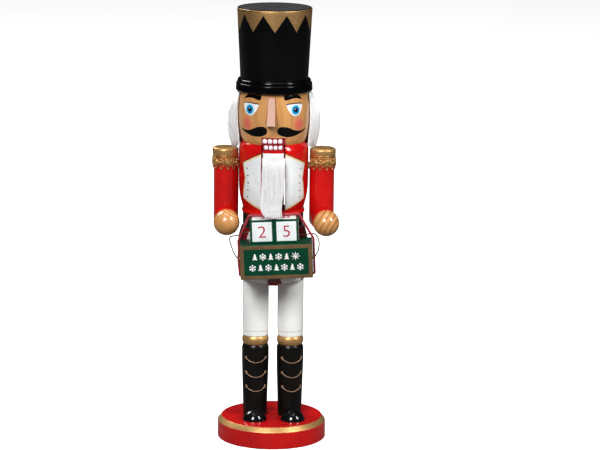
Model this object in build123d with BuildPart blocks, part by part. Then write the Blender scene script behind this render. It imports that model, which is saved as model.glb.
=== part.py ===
from build123d import *
import os
from math import cos, pi, radians, sin, tan

# Standing wooden nutcracker that carries a two-block day calendar.
# Millimetres. +Z is up, the figure faces -Y, and +X is on the right of somebody facing it.
# The origin is the centre of the base's underside.

os.makedirs("parts", exist_ok=True)

# ---------------------------------------------------------------- driving dimensions
# heights of the turned stack, from the floor up
base_height = 19.0
boot_top = 84.0
cuff_top = 91.6
hips_bottom = 143.0
belt_bottom = 189.0
waist = 202.0
shoulder = 264.5
head_top = 308.0
hat_top = 381.0

# the face is turned a little towards -X
face_turn = -3.0

# base
base_radius = 47.5
base_chamfer_in = 3.5
base_chamfer_down = 4.3

# legs
left_leg_x = -14.65
right_leg_x = 15.85
leg_radius = 11.5
leg_neck_radius = 11.2
boot_radius = 11.8
boot_foot_radius = 10.6
cuff_radius = 11.8
spigot_radius = 6.0
spigot_depth = 12.0
glue_gap = 0.05
toe_radius = 10.9
toe_sunk = 1.7
toe_reach = 17.8
right_toe_turn = 9.5

# body
waist_radius = 26.4
chest_radius = 30.2
hips_radius = 31.0
hips_flat_y = -28.6

# jaw lever and the slot that it works in
slot_width = 20.4
slot_floor = 207.0
slot_roof = 247.0
notch_front_y = 17.5
jaw_width = 18.2
jaw_face_radius = 29.9
jaw_top = 265.3
pivot_y = -8.0
pivot_z = 236.0
pin_radius = 2.5
pin_running_gap = 0.06
pin_length = 56.0

# arms and hands
left_arm_x = -41.1
right_arm_x = 42.0
arm_radius = 10.8
arm_top = 253.0
forearm_z = 197.0
forearm_end_y = -17.0
hand_radius = 11.3
hand_y = -26.0
left_arm_turn = 2.7
right_arm_turn = 9.0
shoulder_cap_radius = 11.35
shoulder_cap_out = 0.65
shoulder_cap_height = 5.8
shoulder_cap_round = 2.4
braid_bottom = 240.4
braid_gap_angle = 54.0

# dowels and screws
dowel_radius = 4.0
dowel_half = 12.0
thin_dowel_radius = 3.0
waist_dowel_half = 14.0
hat_dowel_radius = 5.0
hat_dowel_below = 14.0
hat_dowel_above = 20.0
wrist_dowel_half = 10.0
waist_dowel_x = 18.5
waist_dowel_y = -5.0
neck_dowel_x = 18.5
neck_dowel_y = 4.0
shoulder_dowel_z = 243.0
socket_spare = 0.5
screw_radius = 2.0
screw_head_radius = 4.0
screw_length = 44.0

# calendar: a block pinned to the hips, set a little off centre and out of level
block_width = 62.2
block_height = 29.4
block_depth = 28.4
block_x = 3.6
block_z = 169.1
block_tilt = 2.6
cube_size = 20.5
cube_pair_x = -0.9
cube_gap = 0.4
cube_back_y = -28.9

# cords
band_radius = 1.1
band_y = -34.5
band_clearance = 0.2
hanger_radius = 0.5
nail_radius = 1.3
nail_shank_radius = 0.5
nail_length = 5.3
nail_y = -52.0


# ---------------------------------------------------------------- helpers
def disc_on(plane, radius, length):
    """A plain cylinder that grows from a plane along its normal."""
    with BuildPart() as rod:
        with BuildSketch(plane):
            Circle(radius)
        extrude(amount=length)
    return rod.part


def calendar_plane(y):
    """The calendar's own upright plane: X across it, Y up it, normal towards the front."""
    tilt = radians(block_tilt)
    return Plane(origin=(block_x, y, block_z), x_dir=(cos(tilt), 0, sin(tilt)), z_dir=(0, -1, 0))


def save(piece, name):
    piece.label = name
    export_step(piece, f"parts/{name}.step")


# ---------------------------------------------------------------- base
with BuildPart() as base_plate:
    with BuildSketch(Plane.XZ):
        with BuildLine():
            Polyline(
                (0, 0),
                (base_radius - 0.6, 0),
                (base_radius, 0.6),
                (base_radius, base_height - base_chamfer_down),
                (base_radius - base_chamfer_in, base_height),
                (0, base_height),
                close=True,
            )
        make_face()
    revolve(axis=Axis.Z)
    # screw holes from below, one under each boot
    with Locations((left_leg_x, 0, 0), (right_leg_x, 0, 0)):
        with Locations(Location((0, 0, 0), (180, 0, 0))):
            CounterSinkHole(screw_radius + 0.1, screw_head_radius + 1.0, depth=base_height)
save(base_plate.part, "base_plate")

# ---------------------------------------------------------------- legs, from the floor up
with BuildPart() as leg_screws:
    for x in (left_leg_x, right_leg_x):
        with BuildSketch(Plane.XZ):
            with BuildLine():
                Polyline(
                    (x, 0.9),
                    (x + screw_head_radius, 0.9),
                    (x + screw_radius, 3.0),
                    (x + screw_radius, screw_length - 3),
                    (x, screw_length),
                    close=True,
                )
            make_face()
        revolve(axis=Axis((x, 0, 0), (0, 0, 1)))
save(leg_screws.part, "leg_screws")

for side, centre, toe_turn in (("left", left_leg_x, 0.0), ("right", right_leg_x, right_toe_turn)):

    with BuildPart() as boot:
        with BuildSketch(Plane.XZ):
            with BuildLine():
                Line((0, base_height), (boot_foot_radius, base_height))
                Spline(
                    (boot_foot_radius, base_height),
                    (boot_foot_radius + 0.3, 38),
                    (boot_radius - 0.2, 60),
                    (boot_radius, 78),
                    tangents=((0, 1), (-0.02, 1)),
                )
                RadiusArc((boot_radius, 78), (boot_radius - 1.4, boot_top), -8)
                Line((boot_radius - 1.4, boot_top), (0, boot_top))
                Line((0, boot_top), (0, base_height))
            make_face()
        revolve(axis=Axis.Z)
        with BuildSketch(Plane.XY.offset(boot_top)):
            Circle(spigot_radius + glue_gap)
        extrude(amount=-(spigot_depth + 0.5), mode=Mode.SUBTRACT)
        with BuildSketch(Plane.XY.offset(base_height)):
            Circle(screw_radius + glue_gap)
        extrude(amount=screw_length - base_height + 1, mode=Mode.SUBTRACT)
    save(boot.part.moved(Location((centre, 0, 0))), f"{side}_boot")

    toe_plane = Plane.XY.offset(base_height)
    with BuildPart() as toe_cap:
        with Locations((0, -toe_reach, base_height - toe_sunk)):
            Sphere(toe_radius)
        split(bisect_by=toe_plane, keep=Keep.TOP)
        with BuildSketch(toe_plane):
            Circle(boot_foot_radius + 0.35)
        extrude(amount=toe_radius + 1, mode=Mode.SUBTRACT)
    save(toe_cap.part.moved(Location((centre, 0, 0), (0, 0, toe_turn))), f"{side}_toe_cap")

    cuff_edge = cuff_radius - 1.2
    cuff_middle = (boot_top + cuff_top) / 2
    with BuildPart() as cuff:
        with BuildSketch(Plane.XZ):
            with BuildLine():
                Line((spigot_radius + glue_gap, boot_top), (cuff_edge, boot_top))
                ThreePointArc((cuff_edge, boot_top), (cuff_radius, cuff_middle), (cuff_edge, cuff_top))
                Line((cuff_edge, cuff_top), (spigot_radius + glue_gap, cuff_top))
                Line((spigot_radius + glue_gap, cuff_top), (spigot_radius + glue_gap, boot_top))
            make_face()
        revolve(axis=Axis.Z)
    save(cuff.part.moved(Location((centre, 0, 0))), f"{side}_boot_cuff")

    with BuildPart() as leg:
        with BuildSketch(Plane.XZ):
            with BuildLine():
                Polyline(
                    (0, boot_top - spigot_depth),
                    (spigot_radius, boot_top - spigot_depth),
                    (spigot_radius, cuff_top),
                    (leg_neck_radius - 0.5, cuff_top),
                    (leg_neck_radius, cuff_top + 0.6),
                    (leg_neck_radius, cuff_top + 4.6),
                    (leg_radius, cuff_top + 5.2),
                    (leg_radius, hips_bottom),
                    (0, hips_bottom),
                    close=True,
                )
            make_face()
        revolve(axis=Axis.Z)
        with BuildSketch(Plane.XY.offset(hips_bottom)):
            Circle(dowel_radius + glue_gap)
        extrude(amount=-(dowel_half + socket_spare), mode=Mode.SUBTRACT)
    save(leg.part.moved(Location((centre, 0, 0))), f"{side}_leg")

with BuildPart() as leg_dowels:
    with BuildSketch(Plane.XY.offset(hips_bottom - dowel_half)):
        with Locations((left_leg_x, 0), (right_leg_x, 0)):
            Circle(dowel_radius)
    extrude(amount=2 * dowel_half)
save(leg_dowels.part, "leg_dowels")

# --------------------------------------------------------------- hips: belt above, coat skirt below
with BuildPart() as hips:
    with BuildSketch(Plane.XZ):
        with BuildLine():
            Line((0, hips_bottom), (27.4, hips_bottom))
            Spline(
                (27.4, hips_bottom),
                (29.4, 147),
                (hips_radius, 159),
                (30.2, 175),
                (27.6, belt_bottom),
                tangents=((1, 1), (-0.35, 1)),
            )
            Polyline(
                (27.6, belt_bottom),
                (waist_radius, belt_bottom + 0.4),
                (waist_radius, waist),
                (0, waist),
                (0, hips_bottom),
            )
        make_face()
    revolve(axis=Axis.Z)
    # flat in front where the calendar block seats
    split(bisect_by=Plane.XZ.offset(-hips_flat_y), keep=Keep.BOTTOM)
    # notch at the back for the lever's tail
    with BuildSketch(Plane.XY.offset(hips_bottom)):
        with Locations((0, notch_front_y)):
            Rectangle(slot_width, 40, align=(Align.CENTER, Align.MIN))
    extrude(amount=waist - hips_bottom, mode=Mode.SUBTRACT)
    # dowel sockets: legs below, chest above, calendar block in front
    with BuildSketch(Plane.XY.offset(hips_bottom)):
        with Locations((left_leg_x, 0), (right_leg_x, 0)):
            Circle(dowel_radius + glue_gap)
    extrude(amount=dowel_half + socket_spare, mode=Mode.SUBTRACT)
    with BuildSketch(Plane.XY.offset(waist)):
        with Locations((-waist_dowel_x, waist_dowel_y), (waist_dowel_x, waist_dowel_y)):
            Circle(thin_dowel_radius + glue_gap)
    extrude(amount=-(waist_dowel_half + socket_spare), mode=Mode.SUBTRACT)
    with BuildSketch(calendar_plane(hips_flat_y + dowel_half + socket_spare)):
        Circle(dowel_radius + glue_gap)
    extrude(amount=20, mode=Mode.SUBTRACT)
save(hips.part, "hips")

with BuildPart() as waist_dowels:
    with BuildSketch(Plane.XY.offset(waist - waist_dowel_half)):
        with Locations((-waist_dowel_x, waist_dowel_y), (waist_dowel_x, waist_dowel_y)):
            Circle(thin_dowel_radius)
    extrude(amount=2 * waist_dowel_half)
save(waist_dowels.part, "waist_dowels")

# ---------------------------------------------------------------- chest, slotted for the jaw lever
with BuildPart() as chest:
    with BuildSketch(Plane.XZ):
        with BuildLine():
            Line((0, waist), (26.2, waist))
            ThreePointArc((26.2, waist), (27.4, waist + 1.9), (26.5, waist + 3.8))
            Spline(
                (26.5, waist + 3.8),
                (28.2, 213),
                (29.8, 223),
                (chest_radius, 234),
                tangents=((0.12, 1), (0, 1)),
            )
            Line((chest_radius, 234), (chest_radius, 257))
            TangentArc((chest_radius, 257), (27.2, shoulder), tangent=(0, 1))
            Line((27.2, shoulder), (0, shoulder))
            Line((0, shoulder), (0, waist))
        make_face()
    revolve(axis=Axis.Z)
    # slot, front part: open to the front and up into the mouth
    with BuildSketch(Plane.XY.offset(slot_floor)):
        with Locations((0, -36)):
            Rectangle(slot_width, 45, align=(Align.CENTER, Align.MIN))
    extrude(amount=shoulder - slot_floor + 1, mode=Mode.SUBTRACT)
    # slot, back part: open to the back and down into the hips' notch
    with BuildSketch(Plane.XY.offset(waist)):
        with Locations((0, 4)):
            Rectangle(slot_width, 40, align=(Align.CENTER, Align.MIN))
    extrude(amount=slot_roof - waist, mode=Mode.SUBTRACT)
    # pivot pin's hole, right through
    with BuildSketch(Plane.YZ.offset(-40)):
        with Locations((pivot_y, pivot_z)):
            Circle(pin_radius)
    extrude(amount=80, mode=Mode.SUBTRACT)
    # dowel sockets: hips below, head above, one arm on each side
    with BuildSketch(Plane.XY.offset(waist)):
        with Locations((-waist_dowel_x, waist_dowel_y), (waist_dowel_x, waist_dowel_y)):
            Circle(thin_dowel_radius + glue_gap)
    extrude(amount=waist_dowel_half + socket_spare, mode=Mode.SUBTRACT)
    with BuildSketch(Plane.XY.offset(shoulder)):
        with Locations((-neck_dowel_x, neck_dowel_y), (neck_dowel_x, neck_dowel_y)):
            Circle(thin_dowel_radius + glue_gap)
    extrude(amount=-(dowel_half + socket_spare), mode=Mode.SUBTRACT)
    for direction in (-1, 1):
        with BuildSketch(Plane.YZ.offset(direction * 40)):
            with Locations((0, shoulder_dowel_z)):
                Circle(thin_dowel_radius + glue_gap)
        extrude(amount=-direction * 19.5, mode=Mode.SUBTRACT)
save(chest.part, "chest")

with BuildPart() as jaw_pin:
    with BuildSketch(Plane.YZ.offset(-pin_length / 2)):
        with Locations((pivot_y, pivot_z)):
            Circle(pin_radius)
    extrude(amount=pin_length)
save(jaw_pin.part, "jaw_pin")

# ---------------------------------------------------------- jaw lever: one board from mouth to tail
with BuildPart() as jaw_lever:
    with BuildSketch(Plane.YZ.offset(-jaw_width / 2)):
        with BuildLine():
            Polyline((-23.5, jaw_top), (-34, jaw_top), (-34, 221))
            Spline((-34, 221), (-12, 214.5), (6, 211.5), (18.7, 203), tangents=((1, -0.3), (0, -1)))
            Polyline((18.7, 203), (18.7, 131), (30.6, 131), (30.6, 196))
            Spline(
                (30.6, 196),
                (26.5, 213),
                (12, 231),
                (-8, 250),
                (-18, 256.5),
                tangents=((0, 1), (-1, 0.3)),
            )
            Polyline((-18, 256.5), (-23.5, 258.5), (-23.5, jaw_top))
        make_face()
    extrude(amount=jaw_width)
    # the mouth end is rounded like the chest that it closes
    with BuildSketch(Plane.XY.offset(120)):
        Circle(jaw_face_radius)
    extrude(amount=150, mode=Mode.INTERSECT)
    with BuildSketch(Plane.YZ.offset(-jaw_width)):
        with Locations((pivot_y, pivot_z)):
            Circle(pin_radius + pin_running_gap)
    extrude(amount=2 * jaw_width, mode=Mode.SUBTRACT)
save(jaw_lever.part, "jaw_lever")

# ---------------------------------------------------------------- head, nose and upper teeth
mouth_roof = 271.4
with BuildPart() as head:
    with BuildSketch(Plane.XZ):
        with BuildLine():
            Line((0, shoulder), (26.6, shoulder))
            Spline(
                (26.6, shoulder),
                (29.6, 273),
                (31.0, 287),
                (30.4, 300),
                (29.4, head_top),
                tangents=((0.7, 1), (-0.12, 1)),
            )
            Line((29.4, head_top), (0, head_top))
            Line((0, head_top), (0, shoulder))
        make_face()
    revolve(axis=Axis.Z)
    with BuildSketch(Plane.XY.offset(shoulder)):
        with Locations((0, -22)):
            Rectangle(slot_width, 20, align=(Align.CENTER, Align.MAX))
    extrude(amount=mouth_roof - shoulder, mode=Mode.SUBTRACT)
    with BuildSketch(Plane.XY.offset(shoulder)):
        with Locations((-neck_dowel_x, neck_dowel_y), (neck_dowel_x, neck_dowel_y)):
            Circle(thin_dowel_radius + glue_gap)
    extrude(amount=dowel_half + socket_spare, mode=Mode.SUBTRACT)
    with BuildSketch(Plane.XY.offset(head_top)):
        Circle(hat_dowel_radius + glue_gap)
    extrude(amount=-(hat_dowel_below + socket_spare), mode=Mode.SUBTRACT)
save(head.part, "head")

with BuildPart() as neck_dowels:
    with BuildSketch(Plane.XY.offset(shoulder - dowel_half)):
        with Locations((-neck_dowel_x, neck_dowel_y), (neck_dowel_x, neck_dowel_y)):
            Circle(thin_dowel_radius)
    extrude(amount=2 * dowel_half)
save(neck_dowels.part, "neck_dowels")

with BuildPart() as upper_teeth:
    with BuildSketch(Plane.XY.offset(jaw_top + 0.5)):
        Circle(29.6)
        with Locations((0, -22.1)):
            Rectangle(slot_width - 0.2, 20, align=(Align.CENTER, Align.MAX), mode=Mode.INTERSECT)
    extrude(amount=mouth_roof - jaw_top - 0.6)
save(upper_teeth.part, "upper_teeth")

nose_bottom = 283.5
nose_top = 306.0
with BuildPart() as nose:
    with BuildSketch(Plane.XY.offset(nose_bottom)):
        with BuildLine():
            Polyline((-3.6, -41.5), (3.6, -41.5), (6.6, -25), (-6.6, -25), close=True)
        make_face()
    with BuildSketch(Plane.XY.offset(nose_top)):
        with BuildLine():
            Polyline((-2.8, -31.3), (2.8, -31.3), (4.2, -25), (-4.2, -25), close=True)
        make_face()
    loft()
    add(head.part, mode=Mode.SUBTRACT)
save(nose.part.moved(Location((0, 0, 0), (0, 0, face_turn))), "nose")

# --------------------------------------------------------------- hair: a glued strip round the back
hair_bottom = 262.6
with BuildPart() as hair:
    with BuildSketch(Plane.XZ):
        with BuildLine():
            Polyline(
                (30.2, 306.8),
                (34.5, 307.2),
                (38.4, 300),
                (39.8, 286),
                (39.2, 272),
                (36.0, hair_bottom),
                (29.6, hair_bottom),
                (29.4, 266),
                (30.4, 273),
                (31.4, 283),
                (31.4, 290),
                (31.0, 300),
                close=True,
            )
        make_face()
    revolve(axis=Axis.Z, revolution_arc=186)
save(hair.part.moved(Location((0, 0, 0), (0, 0, -3))), "hair")

# ------------------------------------------------------- beard: hangs from the chin over the blocks
with BuildPart() as beard:
    with BuildSketch(Plane.YZ.offset(-8.5)):
        with BuildLine():
            Polyline(
                (-30.3, 257.0),
                (-32.5, 257.6),
                (-36.8, 248),
                (-38.4, 228),
                (-41.8, 215),
                (-46.6, 207.6),
                (-43.0, 206.9),
                (-37.5, 212.5),
                (-33.0, 225),
                (-30.6, 238),
                close=True,
            )
        make_face()
    extrude(amount=17)
save(beard.part, "beard")

# ---------------------------------------------------------------- hat: brim and crown turned in one
with BuildPart() as hat:
    with BuildSketch(Plane.XZ):
        with BuildLine():
            Polyline((0, head_top), (29.6, head_top), (32.4, head_top + 1.2))
            ThreePointArc((32.4, head_top + 1.2), (33.0, head_top + 1.6), (33.2, head_top + 2.2))
            Line((33.2, head_top + 2.2), (32.9, head_top + 7.2))
            ThreePointArc((32.9, head_top + 7.2), (32.4, head_top + 8.2), (31.8, head_top + 8.3))
            Line((31.8, head_top + 8.3), (31.8, head_top + 9.6))
            ThreePointArc((31.8, head_top + 9.6), (31.3, head_top + 11.0), (30.2, head_top + 11.6))
            Line((30.2, head_top + 11.6), (29.4, head_top + 11.8))
            Line((29.4, head_top + 11.8), (32.3, hat_top - 1.6))
            ThreePointArc((32.3, hat_top - 1.6), (31.8, hat_top - 0.4), (30.8, hat_top))
            Line((30.8, hat_top), (0, hat_top))
            Line((0, hat_top), (0, head_top))
        make_face()
    revolve(axis=Axis.Z)
    with BuildSketch(Plane.XY.offset(head_top)):
        Circle(hat_dowel_radius + glue_gap)
    extrude(amount=hat_dowel_above + socket_spare, mode=Mode.SUBTRACT)
save(hat.part, "hat")
hat_dowel_plane = Plane.XY.offset(head_top - hat_dowel_below)
save(disc_on(hat_dowel_plane, hat_dowel_radius, hat_dowel_below + hat_dowel_above), "hat_dowel")

# ---------------------------------------------------------------- arms
elbow_front = forearm_z + arm_radius
for side, arm_x, turn in (("left", left_arm_x, left_arm_turn), ("right", right_arm_x, right_arm_turn)):
    sign = 1 if arm_x > 0 else -1
    place = Location((arm_x, 0, 0), (0, 0, turn))
    mitre = Plane(origin=(0, 0, forearm_z), x_dir=(1, 0, 0), z_dir=(0, 1, 1))

    with BuildPart() as upper_arm:
        with BuildSketch(Plane.XY.offset(forearm_z - arm_radius - 2)):
            Circle(arm_radius)
        extrude(amount=arm_top - forearm_z + arm_radius + 2)
        split(bisect_by=mitre, keep=Keep.TOP)
    # socket for the shoulder dowel, square to the chest however the arm is turned
    socket_plane = Plane((arm_x, 0, shoulder_dowel_z), z_dir=(-sign, 0, 0))
    socket = disc_on(socket_plane, thin_dowel_radius + glue_gap, 20)
    save(upper_arm.part.moved(place) - socket, f"{side}_upper_arm")

    with BuildPart() as forearm:
        with BuildSketch(Plane.XZ.offset(-arm_radius - 2)):
            with Locations((0, forearm_z)):
                Circle(arm_radius)
        extrude(amount=arm_radius + 2 - forearm_end_y)
        split(bisect_by=mitre, keep=Keep.BOTTOM)
        with BuildSketch(Plane.XZ.offset(-forearm_end_y)):
            with Locations((0, forearm_z)):
                Circle(thin_dowel_radius + glue_gap)
        extrude(amount=-(wrist_dowel_half + socket_spare), mode=Mode.SUBTRACT)
    save(forearm.part.moved(place), f"{side}_forearm")

    with BuildPart() as hand:
        with Locations((0, hand_y, forearm_z)):
            Sphere(hand_radius)
        split(bisect_by=Plane.XZ.offset(-forearm_end_y), keep=Keep.TOP)
        with BuildSketch(Plane.XZ.offset(-forearm_end_y)):
            with Locations((0, forearm_z)):
                Circle(thin_dowel_radius + glue_gap)
        extrude(amount=wrist_dowel_half + socket_spare, mode=Mode.SUBTRACT)
    save(hand.part.moved(place), f"{side}_hand")
    wrist_plane = Plane((0, forearm_end_y + wrist_dowel_half, forearm_z), z_dir=(0, -1, 0))
    wrist = disc_on(wrist_plane, thin_dowel_radius, 2 * wrist_dowel_half)
    save(wrist.moved(place), f"{side}_wrist_dowel")
    arm_dowel_plane = Plane((sign * 21, 0, shoulder_dowel_z), z_dir=(sign, 0, 0))
    arm_dowel = disc_on(arm_dowel_plane, thin_dowel_radius, 20)
    save(arm_dowel, f"{side}_shoulder_dowel")

    cap_top = arm_top + shoulder_cap_height
    cap_corner = (shoulder_cap_radius, cap_top - shoulder_cap_round)
    cap_flat_radius = shoulder_cap_radius - shoulder_cap_round
    with BuildPart() as shoulder_cap:
        with BuildSketch(Plane.XZ):
            with BuildLine():
                Line((0, arm_top), (shoulder_cap_radius - 0.2, arm_top))
                Line((shoulder_cap_radius - 0.2, arm_top), cap_corner)
                RadiusArc(cap_corner, (cap_flat_radius, cap_top), -shoulder_cap_round)
                Line((cap_flat_radius, cap_top), (0, cap_top))
                Line((0, cap_top), (0, arm_top))
            make_face()
        revolve(axis=Axis.Z)
    cap_place = Location((arm_x + sign * shoulder_cap_out, 0, 0))
    save(shoulder_cap.part.moved(cap_place), f"{side}_shoulder_cap")

    with BuildPart() as braid:
        with BuildSketch(Plane.XZ):
            with Locations((arm_radius + 0.65, (braid_bottom + arm_top) / 2)):
                Rectangle(1.1, arm_top - braid_bottom - 0.2)
        revolve(axis=Axis.Z, revolution_arc=360 - braid_gap_angle)
    opening = braid_gap_angle / 2 if sign < 0 else 180 + braid_gap_angle / 2
    braid_place = Location((arm_x, 0, 0), (0, 0, opening))
    save(braid.part.moved(braid_place), f"{side}_shoulder_braid")

# ---------------------------------------------------------------- calendar block
def side_plane(sign, height):
    """A plane on the block's side face, near its front, with its normal pointing outwards."""
    local = calendar_plane(nail_y)
    spot = local.from_local_coords(Vector(sign * block_width / 2, height, 0))
    return Plane(spot, z_dir=local.x_dir * sign)


nail_planes = [side_plane(-1, 2.9), side_plane(1, 2.0)]
with BuildPart() as calendar_block:
    with BuildSketch(calendar_plane(hips_flat_y)):
        RectangleRounded(block_width, block_height, 0.8)
    extrude(amount=block_depth)
    with BuildSketch(calendar_plane(hips_flat_y)):
        Circle(dowel_radius + glue_gap)
    extrude(amount=dowel_half + socket_spare, mode=Mode.SUBTRACT)
    with BuildSketch(nail_planes[0], nail_planes[1]):
        Circle(nail_shank_radius + glue_gap)
    extrude(amount=-nail_length, mode=Mode.SUBTRACT)
save(calendar_block.part, "calendar_block")
save(disc_on(calendar_plane(hips_flat_y + dowel_half), dowel_radius, 2 * dowel_half), "calendar_dowel")

# ---------------------------------------------------------------- two number blocks on the ledge
cube_lift = block_height / 2 + 0.05
cube_step = (cube_size + cube_gap) / 2
for name, direction in (("tens_block", -1), ("units_block", 1)):
    with BuildPart() as number_block:
        with BuildSketch(calendar_plane(cube_back_y)):
            with Locations((cube_pair_x + direction * cube_step, cube_lift)):
                Rectangle(cube_size, cube_size, align=(Align.CENTER, Align.MIN))
        extrude(amount=cube_size)
        chamfer(number_block.edges(), 0.4)
    save(number_block.part, name)

# ------------------------------------------------------- elastic band round block and number blocks
band_out = block_width / 2 + band_radius + 0.1
band_low = -block_height / 2 - band_radius - 0.1
band_ledge = block_height / 2 + 0.3
band_high = cube_lift + cube_size + band_clearance + band_radius
band_half_top = cube_step + cube_size / 2 + 0.8
with BuildPart() as band:
    with BuildLine(calendar_plane(band_y)) as band_path:
        FilletPolyline(
            (-band_out, band_low),
            (-band_out, band_ledge),
            (cube_pair_x - band_half_top, band_high),
            (cube_pair_x + band_half_top, band_high),
            (band_out, band_ledge),
            (band_out, band_low),
            radius=1.4,
            close=True,
        )
    with BuildSketch(Plane(band_path.line @ 0, z_dir=band_path.line % 0)):
        Circle(band_radius)
    sweep(path=band_path.line)
save(band.part, "red_band")

# --------------------------------------------------- hanging cord, nailed to the block at both ends
hanger_route = [
    (-29.0, -52.0, 170.6),
    (-31.4, -50.6, 172.5),
    (-33.6, -47.8, 176.0),
    (-35.2, -43.9, 180.1),
    (-37.1, -39.4, 184.4),
    (-36.2, -35.4, 186.9),
    (-31.6, -32.4, 186.3),
    (-26.4, -29.6, 187.8),
    (-19.4, -28.0, 189.8),
    (-11.0, -27.65, 191.6),
    (-2.0, -27.6, 192.1),
    (7.0, -27.65, 191.4),
    (15.4, -27.5, 189.5),
    (22.0, -27.7, 187.2),
    (27.4, -29.3, 187.1),
    (32.0, -31.2, 188.8),
    (36.0, -33.6, 189.6),
    (39.0, -36.4, 187.0),
    (40.4, -39.8, 182.0),
    (39.4, -44.6, 176.9),
    (37.4, -48.9, 173.7),
    (36.1, -52.0, 172.4),
]


def bend_radii(route):
    """The largest arc that each corner's two runs allow."""
    radii = []
    for before, corner, after in zip(route, route[1:], route[2:]):
        run_in = Vector(*corner) - Vector(*before)
        run_out = Vector(*after) - Vector(*corner)
        turn = radians(run_in.get_angle(run_out))
        radii.append(0.45 * min(run_in.length, run_out.length) / tan(turn / 2))
    return radii


hanger_radii = bend_radii(hanger_route)
print("hanging cord radii:", [round(r, 1) for r in hanger_radii])
with BuildPart() as hanging_cord:
    with BuildLine() as hanger_path:
        FilletPolyline(*hanger_route, radius=hanger_radii)
    with BuildSketch(Plane(hanger_path.line @ 0, z_dir=hanger_path.line % 0)):
        Circle(hanger_radius)
    sweep(path=hanger_path.line)
hanger_length = hanger_path.wires()[0].length
print("hanging cord length:", round(hanger_length, 1), "volume:", round(hanging_cord.part.volume, 2))
print("section times length:", round(pi * hanger_radius**2 * hanger_length, 2))
save(hanging_cord.part, "hanging_cord")

# ---------------------------------------------------------- nails that hold the hanging cord's ends
with BuildPart() as cord_nails:
    for plane in nail_planes:
        with BuildSketch(plane):
            Circle(nail_shank_radius)
        extrude(amount=-(nail_length - 0.3))
        with BuildSketch(plane):
            Circle(nail_radius)
        extrude(amount=0.6)
save(cord_nails.part, "cord_nails")
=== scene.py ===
import math

import bpy
import numpy as np
from mathutils import Matrix, Vector
from mathutils.bvhtree import BVHTree
from mathutils.geometry import delaunay_2d_cdt


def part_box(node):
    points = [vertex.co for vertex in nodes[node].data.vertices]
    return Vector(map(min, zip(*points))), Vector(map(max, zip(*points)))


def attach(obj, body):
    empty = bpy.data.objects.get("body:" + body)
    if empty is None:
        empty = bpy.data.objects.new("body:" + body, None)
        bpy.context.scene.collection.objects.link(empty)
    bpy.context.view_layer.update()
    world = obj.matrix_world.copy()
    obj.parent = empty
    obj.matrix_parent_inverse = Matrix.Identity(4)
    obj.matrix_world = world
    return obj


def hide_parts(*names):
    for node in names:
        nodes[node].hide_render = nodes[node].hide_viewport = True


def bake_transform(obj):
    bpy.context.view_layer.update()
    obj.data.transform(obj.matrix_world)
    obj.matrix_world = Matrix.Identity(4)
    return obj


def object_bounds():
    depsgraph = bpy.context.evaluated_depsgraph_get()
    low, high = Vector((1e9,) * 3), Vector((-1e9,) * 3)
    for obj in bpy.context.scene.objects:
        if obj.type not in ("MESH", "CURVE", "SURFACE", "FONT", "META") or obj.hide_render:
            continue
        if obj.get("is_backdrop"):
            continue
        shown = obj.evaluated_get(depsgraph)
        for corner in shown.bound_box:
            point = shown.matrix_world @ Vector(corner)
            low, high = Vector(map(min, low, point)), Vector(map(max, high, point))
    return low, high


# Looks of a wooden nutcracker that carries a two-block day calendar.
# Lengths are in millimetres until a mesh is written, and Blender's units are metres.
# Azimuth is in degrees round an upright axis: 0 faces the front, and 90 faces +X.

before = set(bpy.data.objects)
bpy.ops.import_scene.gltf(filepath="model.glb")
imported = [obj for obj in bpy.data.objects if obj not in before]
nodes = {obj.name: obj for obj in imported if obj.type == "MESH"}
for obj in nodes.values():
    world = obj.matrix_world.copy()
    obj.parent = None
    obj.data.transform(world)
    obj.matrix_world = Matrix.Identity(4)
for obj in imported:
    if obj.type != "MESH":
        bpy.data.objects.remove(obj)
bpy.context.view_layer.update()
scene = bpy.context.scene
MM = 0.001

FACE_TURN = -2.0
VEST_TURN = 2.0


# ---------------------------------------------------------------- camera, light and floor
def make_camera(place, pitch, roll, lens):
    data = bpy.data.cameras.new("camera")
    data.lens = lens
    data.sensor_width = 36
    camera = bpy.data.objects.new("camera", data)
    turn = Matrix.Rotation(math.radians(90 - pitch), 4, "X") @ Matrix.Rotation(math.radians(roll), 4, "Z")
    camera.matrix_world = Matrix.Translation(place) @ turn
    scene.collection.objects.link(camera)
    scene.camera = camera


def make_light(name, place, aim, size, power):
    data = bpy.data.lights.new(name, "AREA")
    data.shape = "RECTANGLE"
    data.size, data.size_y = size
    data.energy = power
    light = bpy.data.objects.new(name, data)
    light.location = place
    light.rotation_mode = "QUATERNION"
    light.rotation_quaternion = (Vector(aim) - Vector(place)).to_track_quat("-Z", "Y")
    scene.collection.objects.link(light)


def make_world(seen, shining, mirrored):
    """A white surround to look at. It lights the object more softly, and is fainter still in its gloss."""
    world = bpy.data.worlds.new("studio")
    world.use_nodes = True
    tree = world.node_tree
    background = tree.nodes["Background"]
    path = tree.nodes.new("ShaderNodeLightPath")
    gloss = tree.nodes.new("ShaderNodeMapRange")
    gloss.inputs["To Min"].default_value = shining
    gloss.inputs["To Max"].default_value = mirrored
    tree.links.new(path.outputs["Is Glossy Ray"], gloss.inputs["Value"])
    spread = tree.nodes.new("ShaderNodeMapRange")
    spread.inputs["To Max"].default_value = seen
    tree.links.new(path.outputs["Is Camera Ray"], spread.inputs["Value"])
    tree.links.new(gloss.outputs["Result"], spread.inputs["To Min"])
    tree.links.new(spread.outputs["Result"], background.inputs["Strength"])
    background.inputs["Color"].default_value = (1, 1, 1, 1)
    scene.world = world


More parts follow.
